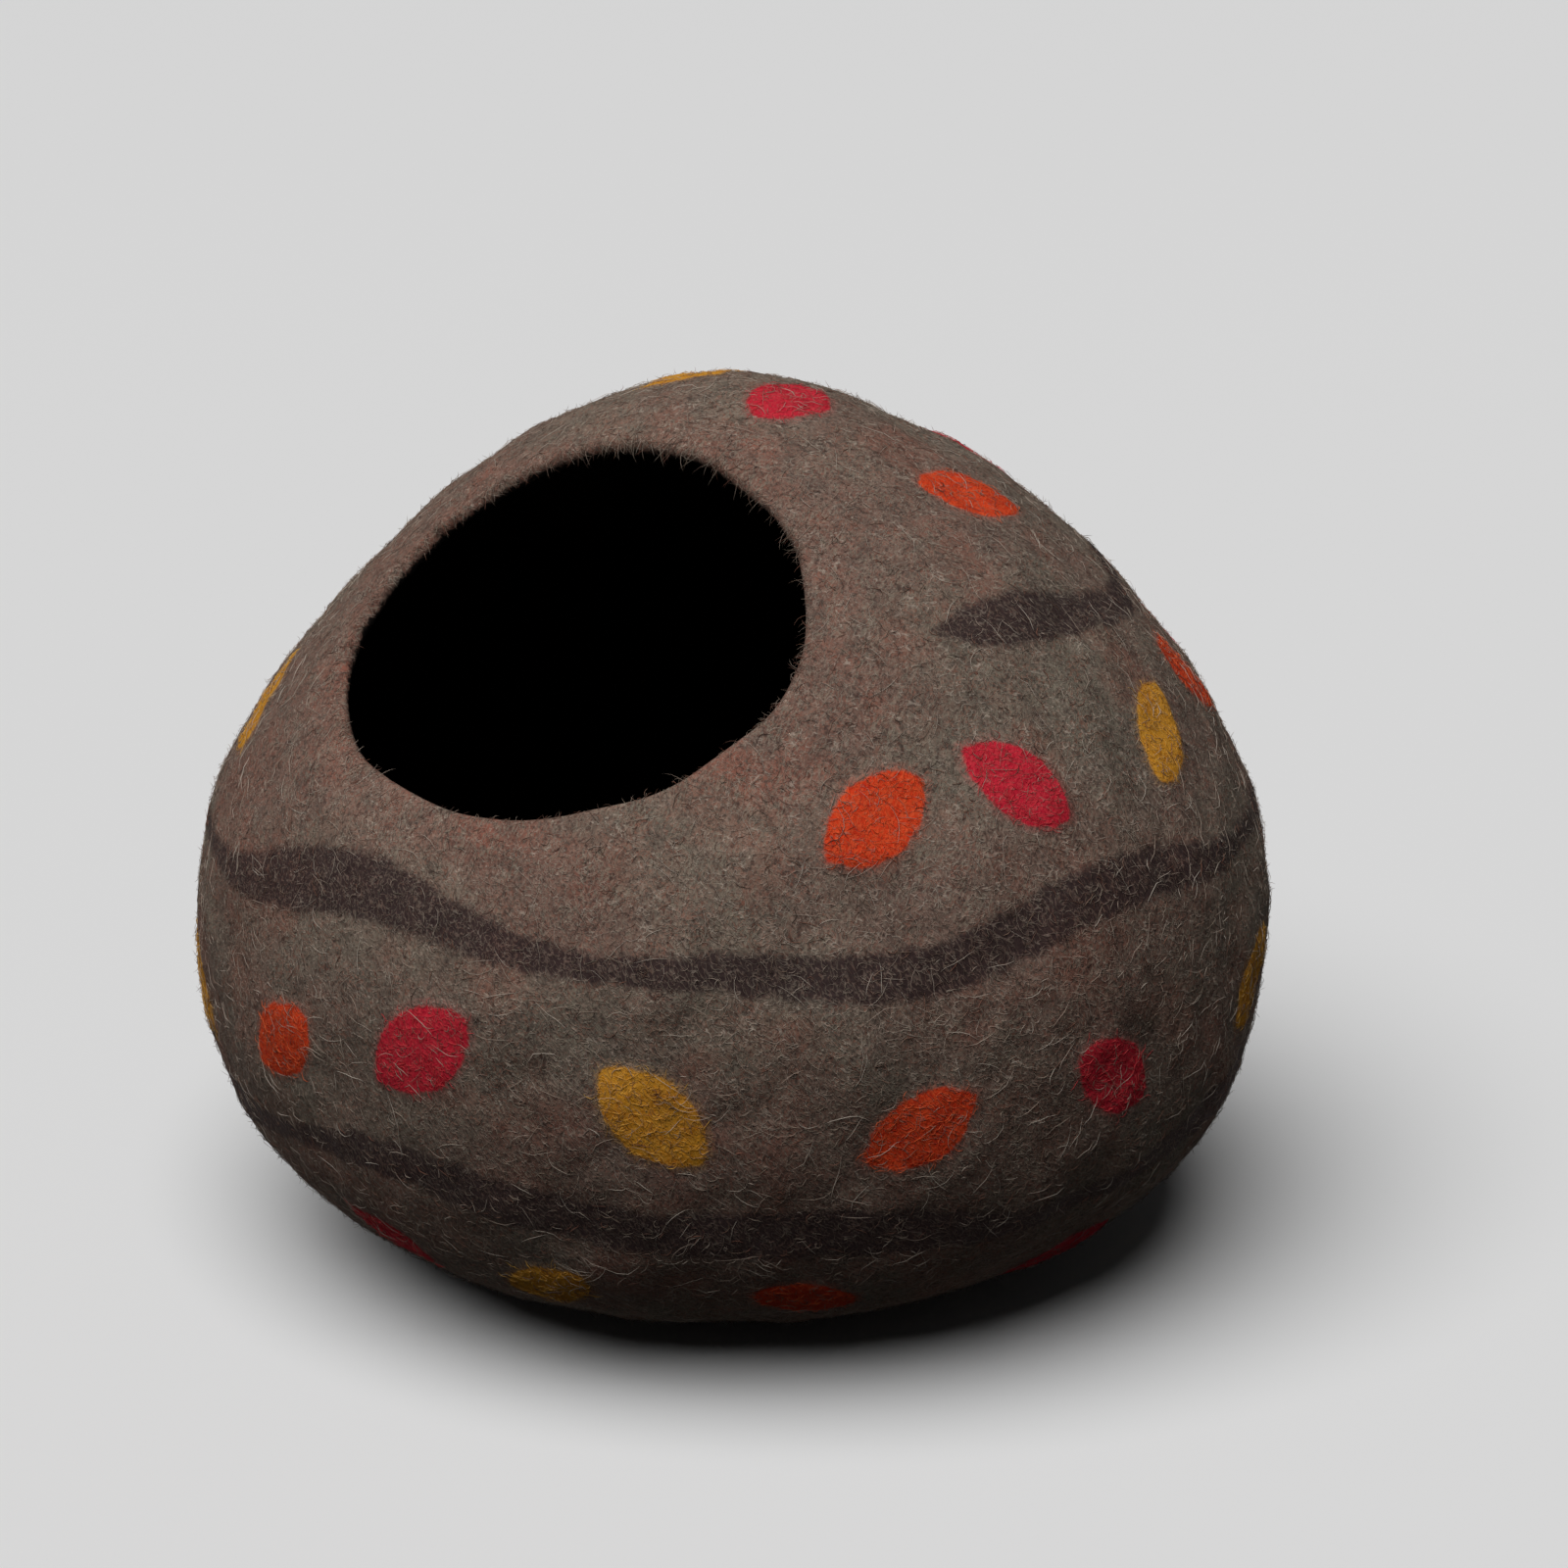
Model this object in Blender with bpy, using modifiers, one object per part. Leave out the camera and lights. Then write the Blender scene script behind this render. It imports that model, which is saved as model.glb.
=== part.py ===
"""A felt cat cave: one seamless vessel of wet-felted wool with an oval mouth high on its front.

Metres, +Z up. The cave rests on its flattened base in the plane z = 0, with the middle of the base
at the origin, and the mouth faces -Y and upwards.
"""

import math
from typing import NamedTuple

import bmesh
import bpy
from mathutils import Matrix, Vector

# The outer face of the body, a squashed egg about the vertical axis
BODY_RADIUS = 0.230
SHOULDER_HEIGHT = 0.163
CROWN_RISE = 0.212
BOWL_DROP = 0.167
CROWN_POWER = 1.68
BOWL_POWER = 2.7

# The felt wall and its edge
WALL_THICKNESS = 0.0075
LIP_ROUNDING = 0.0033
LIP_ROLL = 0.0045
LIP_ROLL_REACH = 0.014

# The mouth, an oval seen from the middle of the shoulder plane
MOUTH_ELEVATION = math.radians(47.0)
MOUTH_HALF_WIDTH = math.radians(29.0)
MOUTH_HALF_HEIGHT = math.radians(25.6)

# The grid of the faceted solid: meridians run from the mouth to the point opposite it
MERIDIANS = 60
RINGS = 31
RING_CROWDING = 1.35
LIP_SEGMENTS = 3

FELT_COLOUR = (0.20, 0.125, 0.097, 1.0)
FELT_ROUGHNESS = 0.95


class Swell(NamedTuple):
    """A soft bulge (rise above 0) or hollow (rise below 0) of the hand-shaped wall."""

    azimuth: float  # degrees about +Z, from +X
    elevation: float  # degrees above the shoulder plane
    spread: float  # degrees
    rise: float  # metres


SWELLS = (
    Swell(azimuth=-150, elevation=33, spread=20, rise=-0.0042),
    Swell(azimuth=-162, elevation=64, spread=15, rise=0.0008),
    Swell(azimuth=-95, elevation=8, spread=26, rise=0.0025),
    Swell(azimuth=-50, elevation=30, spread=17, rise=-0.0022),
    Swell(azimuth=-15, elevation=48, spread=19, rise=0.0016),
    Swell(azimuth=5, elevation=5, spread=24, rise=-0.0016),
    Swell(azimuth=30, elevation=38, spread=22, rise=-0.0028),
    Swell(azimuth=75, elevation=55, spread=20, rise=-0.0020),
    Swell(azimuth=95, elevation=10, spread=28, rise=0.0022),
    Swell(azimuth=140, elevation=35, spread=22, rise=0.0026),
    Swell(azimuth=175, elevation=2, spread=20, rise=-0.0020),
    Swell(azimuth=-150, elevation=-22, spread=18, rise=0.0030),
    Swell(azimuth=-60, elevation=-22, spread=20, rise=-0.0018),
    Swell(azimuth=50, elevation=-25, spread=20, rise=-0.0014),
)


def unit_direction(azimuth, elevation):
    """The unit vector at an azimuth from +X and an elevation, both in degrees."""
    turn = math.radians(azimuth)
    lift = math.radians(elevation)
    return Vector((math.cos(lift) * math.cos(turn), math.cos(lift) * math.sin(turn), math.sin(lift)))


def egg_distance(direction):
    """How far the even egg's surface lies from the middle of the shoulder plane."""
    across = math.hypot(direction.x, direction.y) / BODY_RADIUS
    if direction.z > 0:
        power = CROWN_POWER
        along = direction.z / CROWN_RISE
    else:
        power = BOWL_POWER
        along = -direction.z / BOWL_DROP
    return (across**power + along**power) ** (-1 / power)


def unevenness(direction):
    """The sum of the swells in one direction."""
    total = 0.0
    for swell in SWELLS:
        angle = direction.angle(unit_direction(swell.azimuth, swell.elevation))
        total += swell.rise * math.exp(-((angle / math.radians(swell.spread)) ** 2))
    return total


def mouth_angle(turn):
    """The oval mouth's half angle at a turn about its axis, from its width to its height."""
    return 1 / math.hypot(math.cos(turn) / MOUTH_HALF_WIDTH, math.sin(turn) / MOUTH_HALF_HEIGHT)


def wall_point(turn, share):
    """A point of the outer face: share runs from 0 on the lip to 1 opposite the mouth."""
    lip = mouth_angle(turn)
    beyond_lip = (math.pi - lip) * share**RING_CROWDING
    angle = lip + beyond_lip
    local = Vector((math.sin(angle) * math.cos(turn), math.sin(angle) * math.sin(turn), math.cos(angle)))
    direction = Matrix.Rotation(math.pi / 2 - MOUTH_ELEVATION, 3, "X") @ local
    distance = egg_distance(direction) + unevenness(direction)
    distance -= LIP_ROLL * math.exp(-beyond_lip * distance / LIP_ROLL_REACH)
    point = direction * distance
    point.z = max(point.z + SHOULDER_HEIGHT, 0.0)
    return point


def make_wall_mesh():
    """The outer face: a sphere without its cap, each vertex moved out to the wall."""
    grid = bmesh.new()
    bmesh.ops.create_uvsphere(grid, u_segments=MERIDIANS, v_segments=RINGS, radius=1.0)
    cap = max(grid.verts, key=lambda vertex: vertex.co.z)
    bmesh.ops.delete(grid, geom=[cap], context="VERTS")
    first_ring = math.pi / RINGS
    for vertex in grid.verts:
        turn = math.atan2(vertex.co.y, vertex.co.x)
        angle = math.acos(max(-1.0, min(1.0, vertex.co.z)))
        vertex.co = wall_point(turn, max(0.0, (angle - first_ring) / (math.pi - first_ring)))
    bmesh.ops.recalc_face_normals(grid, faces=grid.faces)
    mesh = bpy.data.meshes.new("felt_shell")
    grid.to_mesh(mesh)
    grid.free()
    mesh.shade_smooth()
    return mesh


def make_felt_material():
    """Undyed brown wool, dull all over."""
    material = bpy.data.materials.new("brown_felt")
    material.use_nodes = True
    shader = material.node_tree.nodes["Principled BSDF"]
    shader.inputs["Base Color"].default_value = FELT_COLOUR
    shader.inputs["Roughness"].default_value = FELT_ROUGHNESS
    shader.inputs["Metallic"].default_value = 0.0
    return material


def make_shell(collection):
    """The whole cave: the wall thickened inwards, with a rounded lip."""
    shell = bpy.data.objects.new("felt_shell", make_wall_mesh())
    shell.data.materials.append(make_felt_material())
    collection.objects.link(shell)
    thicken = shell.modifiers.new("wall_thickness", "SOLIDIFY")
    thicken.thickness = WALL_THICKNESS
    thicken.offset = -1
    thicken.use_even_offset = True
    round_off = shell.modifiers.new("lip_rounding", "BEVEL")
    round_off.width = LIP_ROUNDING
    round_off.segments = LIP_SEGMENTS
    round_off.limit_method = "ANGLE"
    round_off.angle_limit = math.radians(55)
    return shell


def main():
    for leftover in list(bpy.data.objects):
        bpy.data.objects.remove(leftover)
    collection = bpy.data.collections.new("felt_cat_cave")
    bpy.context.scene.collection.children.link(collection)
    make_shell(collection)


main()
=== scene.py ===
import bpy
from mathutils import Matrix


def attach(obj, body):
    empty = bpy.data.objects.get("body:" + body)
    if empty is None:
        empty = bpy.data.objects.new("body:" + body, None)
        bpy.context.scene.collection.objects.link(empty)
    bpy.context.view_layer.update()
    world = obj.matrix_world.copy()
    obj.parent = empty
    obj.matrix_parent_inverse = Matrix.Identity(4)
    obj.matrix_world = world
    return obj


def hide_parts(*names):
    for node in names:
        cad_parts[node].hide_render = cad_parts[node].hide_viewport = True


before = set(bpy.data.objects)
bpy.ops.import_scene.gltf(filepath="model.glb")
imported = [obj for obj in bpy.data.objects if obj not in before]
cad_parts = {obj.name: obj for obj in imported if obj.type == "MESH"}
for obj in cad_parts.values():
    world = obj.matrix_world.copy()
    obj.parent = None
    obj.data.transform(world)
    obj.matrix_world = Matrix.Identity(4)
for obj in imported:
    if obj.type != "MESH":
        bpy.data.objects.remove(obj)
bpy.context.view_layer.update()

"""The looks of a felt cat cave: one seamless vessel of wet-felted wool with an oval mouth.

Metres, +Z up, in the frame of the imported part: the base lies in z = 0 with its middle at the
origin, and the mouth faces -Y and upwards. The wall, the dyed leaves and bands felted into it and
the loose fibres that stand proud of it are all worked out from one form, so they always meet.
"""

import logging
import math
from dataclasses import dataclass, field
from enum import Enum

import bpy
import numpy as np
from mathutils import Vector

Array = np.ndarray
Colour = tuple[float, float, float]

BAKE_MAP = "OFBake"
FULL_TURN = 2 * math.pi
LIP_REACH = 0.2  # about how far the lip lies from the centre, in metres
log = logging.getLogger("felt_cat_cave")


# ---------------------------------------------------------------- form of the vessel


def unit_directions(azimuths: Array, elevations: Array) -> Array:
    """Unit vectors from azimuths about +Z and elevations.

    Args:
        azimuths: angles from +X in degrees.
        elevations: angles above the shoulder plane in degrees.

    Returns:
        One unit vector for each pair, along the last axis.
    """
    turn = np.radians(azimuths)
    lift = np.radians(elevations)
    return np.stack([np.cos(lift) * np.cos(turn), np.cos(lift) * np.sin(turn), np.sin(lift)], axis=-1)


def normalised(vectors: Array) -> Array:
    """The vectors at unit length."""
    return vectors / np.maximum(np.linalg.norm(vectors, axis=-1, keepdims=True), 1e-12)


def smoothstep(values: Array, low: float, high: float) -> Array:
    """A smooth rise from 0 at low to 1 at high.

    Args:
        values: where to take it.
        low: the value at which it leaves 0.
        high: the value at which it reaches 1; below low, the step falls instead.

    Returns:
        The step's height at each value.
    """
    share = np.clip((values - low) / (high - low), 0.0, 1.0)
    return share * share * (3 - 2 * share)


@dataclass(frozen=True)
class Swell:
    """A soft bulge (rise above 0) or hollow (rise below 0) of the hand-shaped wall."""

    azimuth: float
    elevation: float
    spread: float
    rise: float


@dataclass(frozen=True)
class Lumps:
    """The even unevenness of hand-felted wool, as plane waves that cross in random directions."""

    wavelength: float
    height: float
    seed: int
    waves: int = 26

    def rise(self, points: Array) -> Array:
        """How far the surface stands proud.

        Args:
            points: places in metres, along the last axis.

        Returns:
            The rise in metres at each point.
        """
        draw = np.random.default_rng(self.seed)
        ways = normalised(draw.normal(size=(self.waves, 3)))
        lengths = self.wavelength * draw.uniform(0.7, 1.6, self.waves)
        starts = draw.uniform(0.0, FULL_TURN, self.waves)
        phases = points @ (ways / lengths[:, None]).T * FULL_TURN + starts
        return self.height * np.cos(phases).sum(axis=-1) * math.sqrt(2 / self.waves)


@dataclass(frozen=True)
class CaveForm:
    """The even outer face of the vessel, as in the CAD source: a squashed egg with swells."""

    body_radius: float = 0.230
    shoulder_height: float = 0.163
    crown_rise: float = 0.212
    bowl_drop: float = 0.167
    crown_power: float = 1.68
    bowl_power: float = 2.7
    wall_thickness: float = 0.0075
    lip_roll: float = 0.0045
    lip_roll_reach: float = 0.014
    mouth_elevation: float = math.radians(47.0)
    mouth_half_width: float = math.radians(29.0)
    mouth_half_height: float = math.radians(25.6)
    swells: tuple[Swell, ...] = (
        Swell(azimuth=-150, elevation=33, spread=20, rise=-0.0042),
        Swell(azimuth=-162, elevation=64, spread=15, rise=0.0008),
        Swell(azimuth=-95, elevation=8, spread=26, rise=0.0025),
        Swell(azimuth=-50, elevation=30, spread=17, rise=-0.0022),
        Swell(azimuth=-15, elevation=48, spread=19, rise=0.0016),
        Swell(azimuth=5, elevation=5, spread=24, rise=-0.0016),
        Swell(azimuth=30, elevation=38, spread=22, rise=-0.0028),
        Swell(azimuth=75, elevation=55, spread=20, rise=-0.0020),
        Swell(azimuth=95, elevation=10, spread=28, rise=0.0022),
        Swell(azimuth=140, elevation=35, spread=22, rise=0.0026),
        Swell(azimuth=175, elevation=2, spread=20, rise=-0.0020),
        Swell(azimuth=-150, elevation=-22, spread=18, rise=0.0030),
        Swell(azimuth=-60, elevation=-22, spread=20, rise=-0.0018),
        Swell(azimuth=50, elevation=-25, spread=20, rise=-0.0014),
    )

    @property
    def centre(self) -> Array:
        """The middle of the shoulder plane."""
        return np.array([0.0, 0.0, self.shoulder_height])

    @property
    def mouth_frame(self) -> Array:
        """The rotation whose third column points out of the mouth."""
        tip = math.pi / 2 - self.mouth_elevation
        return np.array(
            [
                [1.0, 0.0, 0.0],
                [0.0, math.cos(tip), -math.sin(tip)],
                [0.0, math.sin(tip), math.cos(tip)],
            ]
        )

    def directions(self, turns: Array, angles: Array) -> Array:
        """Unit vectors from turns about the mouth's axis and angles away from it."""
        spokes = [np.sin(angles) * np.cos(turns), np.sin(angles) * np.sin(turns), np.cos(angles)]
        return np.stack(spokes, axis=-1) @ self.mouth_frame.T

    def mouth_polar(self, directions: Array) -> tuple[Array, Array]:
        """The turns about the mouth's axis and the angles away from it of unit vectors."""
        local = directions @ self.mouth_frame
        return np.arctan2(local[..., 1], local[..., 0]), np.arccos(np.clip(local[..., 2], -1.0, 1.0))

    def lip_angle(self, turns: Array) -> Array:
        """The oval mouth's half angle at turns about its axis."""
        return 1 / np.hypot(np.cos(turns) / self.mouth_half_width, np.sin(turns) / self.mouth_half_height)

    def beyond_lip(self, directions: Array) -> Array:
        """The angle between each direction and the lip, above 0 on the wall."""
        turns, angles = self.mouth_polar(directions)
        return angles - self.lip_angle(turns)

    def reach(self, directions: Array) -> Array:
        """How far the even outer face lies from the centre.

        Args:
            directions: unit vectors, along the last axis.

        Returns:
            The distance in metres in each direction, before the base is flattened.
        """
        across = np.hypot(directions[..., 0], directions[..., 1]) / self.body_radius
        height = directions[..., 2]
        power = np.where(height > 0, self.crown_power, self.bowl_power)
        along = np.where(height > 0, height / self.crown_rise, -height / self.bowl_drop)
        distance = (across**power + along**power) ** (-1 / power)
        for swell in self.swells:
            toward = unit_directions(np.array(swell.azimuth), np.array(swell.elevation))
            angle = np.arccos(np.clip(directions @ toward, -1.0, 1.0))
            distance = distance + swell.rise * np.exp(-((angle / math.radians(swell.spread)) ** 2))
        beyond = np.maximum(self.beyond_lip(directions), 0.0)
        return distance - self.lip_roll * np.exp(-beyond * distance / self.lip_roll_reach)


# ---------------------------------------------------------------- dyed leaves and bands


class Dye(Enum):
    """The dyed wools that are felted into the wall."""

    CRIMSON = "crimson"
    MUSTARD = "mustard"
    ORANGE = "orange"
    PLUM = "plum"


LEAF_DYES = (Dye.CRIMSON, Dye.MUSTARD, Dye.ORANGE)


@dataclass(frozen=True)
class LeafRow:
    """A row of pointed leaves round the wall, each tilted the other way from the last."""

    elevation: float
    count: int
    first_azimuth: float
    tilt: float
    first_dye: int
    sway: float = 2.5
    size: float = 1.0


@dataclass(frozen=True)
class Band:
    """A gently waving band of dark wool round the wall, whole or open at the front."""

    elevation: float
    sway: float
    waves: int
    phase: float
    half_width: float
    swelling: float
    opening: tuple[float, float] | None = None

    def centreline(self, azimuths: Array) -> Array:
        """The band's elevation in degrees at azimuths in degrees."""
        turn = np.radians(azimuths)
        slow = np.sin(self.waves * turn + self.phase)
        quick = np.sin((2 * self.waves + 1) * turn + 2.1 * self.phase)
        return self.elevation + self.sway * (slow + 0.35 * quick)

    def half_widths(self, azimuths: Array) -> Array:
        """Half the band's width in metres at azimuths in degrees, below 0 past its ends."""
        turn = np.radians(azimuths)
        swollen = np.sin((self.waves + 1) * turn - self.phase) + 0.5 * np.sin(7 * turn + self.phase)
        width = self.half_width * (1 + self.swelling * swollen)
        if self.opening is None:
            return width
        middle, half_gap = self.opening
        from_middle = np.abs((azimuths - middle + 180) % 360 - 180)
        return width - 0.035 * smoothstep(from_middle, half_gap + 26.0, half_gap - 8.0)


@dataclass(frozen=True)
class MotifLayout:
    """Where the dyed wool lies: rows of plain almond leaves between dark bands."""

    form: CaveForm
    leaf_length: float = 0.054
    leaf_width: float = 0.031
    mouth_clearance: float = math.radians(11.0)
    furthest: float = 0.030
    seed: int = 11
    rows: tuple[LeafRow, ...] = (
        LeafRow(elevation=-32, count=12, first_azimuth=-78, tilt=28, first_dye=1, size=0.92),
        LeafRow(elevation=-6, count=15, first_azimuth=-88, tilt=38, first_dye=0),
        LeafRow(elevation=25, count=15, first_azimuth=-47, tilt=40, first_dye=2),
        LeafRow(elevation=57, count=9, first_azimuth=-32, tilt=30, first_dye=1, size=0.95),
        LeafRow(elevation=82, count=2, first_azimuth=-10, tilt=20, first_dye=0, size=0.95),
    )
    bands: tuple[Band, ...] = (
        Band(elevation=-19, sway=2.6, waves=3, phase=0.4, half_width=0.0095, swelling=0.34),
        Band(elevation=9, sway=2.2, waves=4, phase=2.2, half_width=0.0080, swelling=0.40),
        Band(
            elevation=41,
            sway=2.4,
            waves=3,
            phase=4.0,
            half_width=0.0078,
            swelling=0.32,
            opening=(-90.0, 46.0),
        ),
    )

    def leaves(self) -> list[tuple[Dye, Array, Array, Array, float]]:
        """Every leaf that clears the mouth.

        Returns:
            For each leaf its dye, its middle, the unit vectors along and across it, and its size.
        """
        draw = np.random.default_rng(self.seed)
        found = []
        for row in self.rows:
            for step in range(row.count):
                jitter = draw.uniform(-1.0, 1.0, 4)
                azimuth = row.first_azimuth + 360 * (step + 0.14 * jitter[0]) / row.count
                elevation = row.elevation + row.sway * math.sin(math.radians(3 * azimuth)) + 1.4 * jitter[1]
                out = unit_directions(np.array(azimuth), np.array(elevation))
                if self.form.beyond_lip(out) < self.mouth_clearance:
                    continue
                middle = out * self.form.reach(out) + self.form.centre
                level = normalised(np.array([-out[1], out[0], 0.0]))
                upward = np.cross(out, level)
                lean = math.radians((row.tilt + 10 * jitter[2]) * (-1) ** step)
                along = math.cos(lean) * level + math.sin(lean) * upward
                across = np.cross(out, along)
                dye = LEAF_DYES[(row.first_dye + step) % len(LEAF_DYES)]
                found.append((dye, middle, along, across, row.size * (1 + 0.09 * jitter[3])))
        return found

    def leaf_distance(self, along: Array, across: Array, size: float) -> Array:
        """The signed distance to an almond outline, below 0 inside.

        Args:
            along: places along the leaf from its middle.
            across: places across the leaf from its middle.
            size: the leaf's scale.

        Returns:
            The distance in metres at each place.
        """
        half_length = size * self.leaf_length / 2
        half_width = size * self.leaf_width / 2
        offset = (half_length**2 - half_width**2) / (2 * half_width)
        radius = offset + half_width
        reach, side = np.abs(along), np.abs(across)
        past_tip = (reach - half_length) * offset > side * half_length
        to_tip = np.hypot(reach - half_length, side)
        to_arc = np.hypot(reach, side + offset) - radius
        return np.where(past_tip, to_tip, to_arc)

    def distances(self, points: Array) -> dict[Dye, Array]:
        """The signed distance in metres from points on the wall to the nearest edge of each dye."""
        flat = points.reshape(-1, 3)
        nearest = {dye: np.full(len(flat), self.furthest) for dye in Dye}
        for dye, middle, along, across, size in self.leaves():
            offset = flat - middle
            close = np.flatnonzero((offset**2).sum(axis=1) < (self.leaf_length + self.furthest) ** 2)
            gap = self.leaf_distance(offset[close] @ along, offset[close] @ across, size)
            nearest[dye][close] = np.minimum(nearest[dye][close], gap)
        out = flat - self.form.centre
        azimuths = np.degrees(np.arctan2(out[:, 1], out[:, 0]))
        ground = np.hypot(out[:, 0], out[:, 1])
        elevations = np.degrees(np.arctan2(out[:, 2], ground))
        span = np.linalg.norm(out, axis=1)
        for band in self.bands:
            line = band.centreline(azimuths)
            slope = (band.centreline(azimuths + 1.0) - line) * span / np.maximum(ground, 0.02)
            gap = np.radians(np.abs(elevations - line)) * span / np.hypot(1.0, slope)
            gap = gap - band.half_widths(azimuths)
            nearest[Dye.PLUM] = np.minimum(nearest[Dye.PLUM], gap)
        shape = points.shape[:-1]
        return {dye: np.clip(gap, -0.02, self.furthest).reshape(shape) for dye, gap in nearest.items()}


# ---------------------------------------------------------------- outer face as felted


@dataclass(frozen=True)
class FeltSkin:
    """The outer face as it is felted: the even form with its lumps, dimples and raised leaves."""

    form: CaveForm
    motif: MotifLayout
    leaf_relief: float = 0.0007
    leaf_edge: float = 0.0022
    lumps: tuple[Lumps, ...] = (
        Lumps(wavelength=0.120, height=0.0007, seed=3),
        Lumps(wavelength=0.042, height=0.00055, seed=5),
        Lumps(wavelength=0.017, height=0.00022, seed=7),
    )

    def points(self, directions: Array) -> Array:
        """Where the outer face lies in each direction from the centre."""
        even = self.form.reach(directions)
        places = directions * even[..., None] + self.form.centre
        rise = sum(lumps.rise(places) for lumps in self.lumps)
        gaps = self.motif.distances(places)
        for dye in LEAF_DYES:
            rise = rise + self.leaf_relief * smoothstep(gaps[dye], self.leaf_edge, -self.leaf_edge)
        places = directions * (even + rise)[..., None] + self.form.centre
        places[..., 2] = np.maximum(places[..., 2], 0.0)
        return places

    def normals(self, directions: Array) -> Array:
        """The outer face's unit normals, from points a little to either side."""
        step = 0.004
        aside = normalised(np.cross(directions, np.array([0.31, 0.17, 0.93])))
        ahead = np.cross(directions, aside)
        right = self.even_points(normalised(directions + step * aside))
        left = self.even_points(normalised(directions - step * aside))
        fore = self.even_points(normalised(directions + step * ahead))
        back = self.even_points(normalised(directions - step * ahead))
        return normalised(np.cross(right - left, fore - back))

    def even_points(self, directions: Array) -> Array:
        """Where the even form lies in each direction, with the flattened base."""
        places = directions * self.form.reach(directions)[..., None] + self.form.centre
        places[..., 2] = np.maximum(places[..., 2], 0.0)
        return places


# ---------------------------------------------------------------- meshes


def mesh_from(name: str, points: Array, triangles: Array, places: Array) -> bpy.types.Mesh:
    """A smooth mesh with a map for its textures.

    Args:
        name: the mesh's name.
        points: its vertices, in metres.
        triangles: three vertices for each face.
        places: the map's place of each face corner, from 0 to 1.

    Returns:
        The mesh.
    """
    mesh = bpy.data.meshes.new(name)
    mesh.vertices.add(len(points))
    mesh.vertices.foreach_set("co", points.astype(np.float32).ravel())
    mesh.loops.add(triangles.size)
    mesh.loops.foreach_set("vertex_index", triangles.astype(np.int32).ravel())
    mesh.polygons.add(len(triangles))
    mesh.polygons.foreach_set("loop_start", np.arange(0, triangles.size, 3, dtype=np.int32))
    mesh.update(calc_edges=True)
    layer = mesh.uv_layers.new(name=BAKE_MAP)
    layer.data.foreach_set("uv", places.astype(np.float32).ravel())
    mesh.shade_smooth()
    return mesh


def add_field(mesh: bpy.types.Mesh, name: str, values: Array) -> None:
    """Stores a number for each vertex, which materials read by name."""
    mesh.attributes.new(name, "FLOAT", "POINT").data.foreach_set("value", values.astype(np.float32).ravel())


def place_piece(name: str, mesh: bpy.types.Mesh, material: bpy.types.Material) -> bpy.types.Object:
    """Puts a mesh in the scene as a piece of the cave.

    Args:
        name: the piece's name.
        mesh: its mesh, in the row frame.
        material: its finish.

    Returns:
        The new object.
    """
    mesh.materials.append(material)
    piece = bpy.data.objects.new(name, mesh)
    bpy.context.scene.collection.objects.link(piece)
    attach(piece, "root")
    return piece


# ---------------------------------------------------------------- shader expressions


class Value:
    """A number that varies over a surface: a node's output, ready for use in an expression."""

    def __init__(self, bench: "Bench", socket: bpy.types.NodeSocket) -> None:
        """Wraps a socket of the bench's material."""
        self.bench = bench
        self.socket = socket

    def combined(self, operation: str, first: "Value | float", second: "Value | float" = 0.0) -> "Value":
        """A Math node's result.

        Args:
            operation: the Math node's operation.
            first: its first operand.
            second: its second operand.

        Returns:
            The result as a value of its own.
        """
        node = self.bench.node("ShaderNodeMath", {"operation": operation}, {0: first, 1: second})
        return Value(self.bench, node.outputs[0])

    def __add__(self, other: "Value | float") -> "Value":
        """The sum of two values."""
        return self.combined("ADD", self, other)

    def __radd__(self, other: float) -> "Value":
        """The sum of a number and this value."""
        return self.combined("ADD", other, self)

    def __sub__(self, other: "Value | float") -> "Value":
        """What is left of this value."""
        return self.combined("SUBTRACT", self, other)

    def __rsub__(self, other: float) -> "Value":
        """What this value leaves of a number."""
        return self.combined("SUBTRACT", other, self)

    def __mul__(self, other: "Value | float") -> "Value":
        """The product of two values."""
        return self.combined("MULTIPLY", self, other)

    def __rmul__(self, other: float) -> "Value":
        """The product of a number and this value."""
        return self.combined("MULTIPLY", other, self)

    def __abs__(self) -> "Value":
        """The value without its sign."""
        return self.combined("ABSOLUTE", self)

    def most(self, other: "Value | float") -> "Value":
        """The larger of two values."""
        return self.combined("MAXIMUM", self, other)

    def step(self, low: float, high: float) -> "Value":
        """A smooth rise from 0 at low to 1 at high, or a fall where high is below low."""
        settings = {"interpolation_type": "SMOOTHSTEP"}
        node = self.bench.node("ShaderNodeMapRange", settings, {0: self, 1: low, 2: high})
        return Value(self.bench, node.outputs[0])


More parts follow.
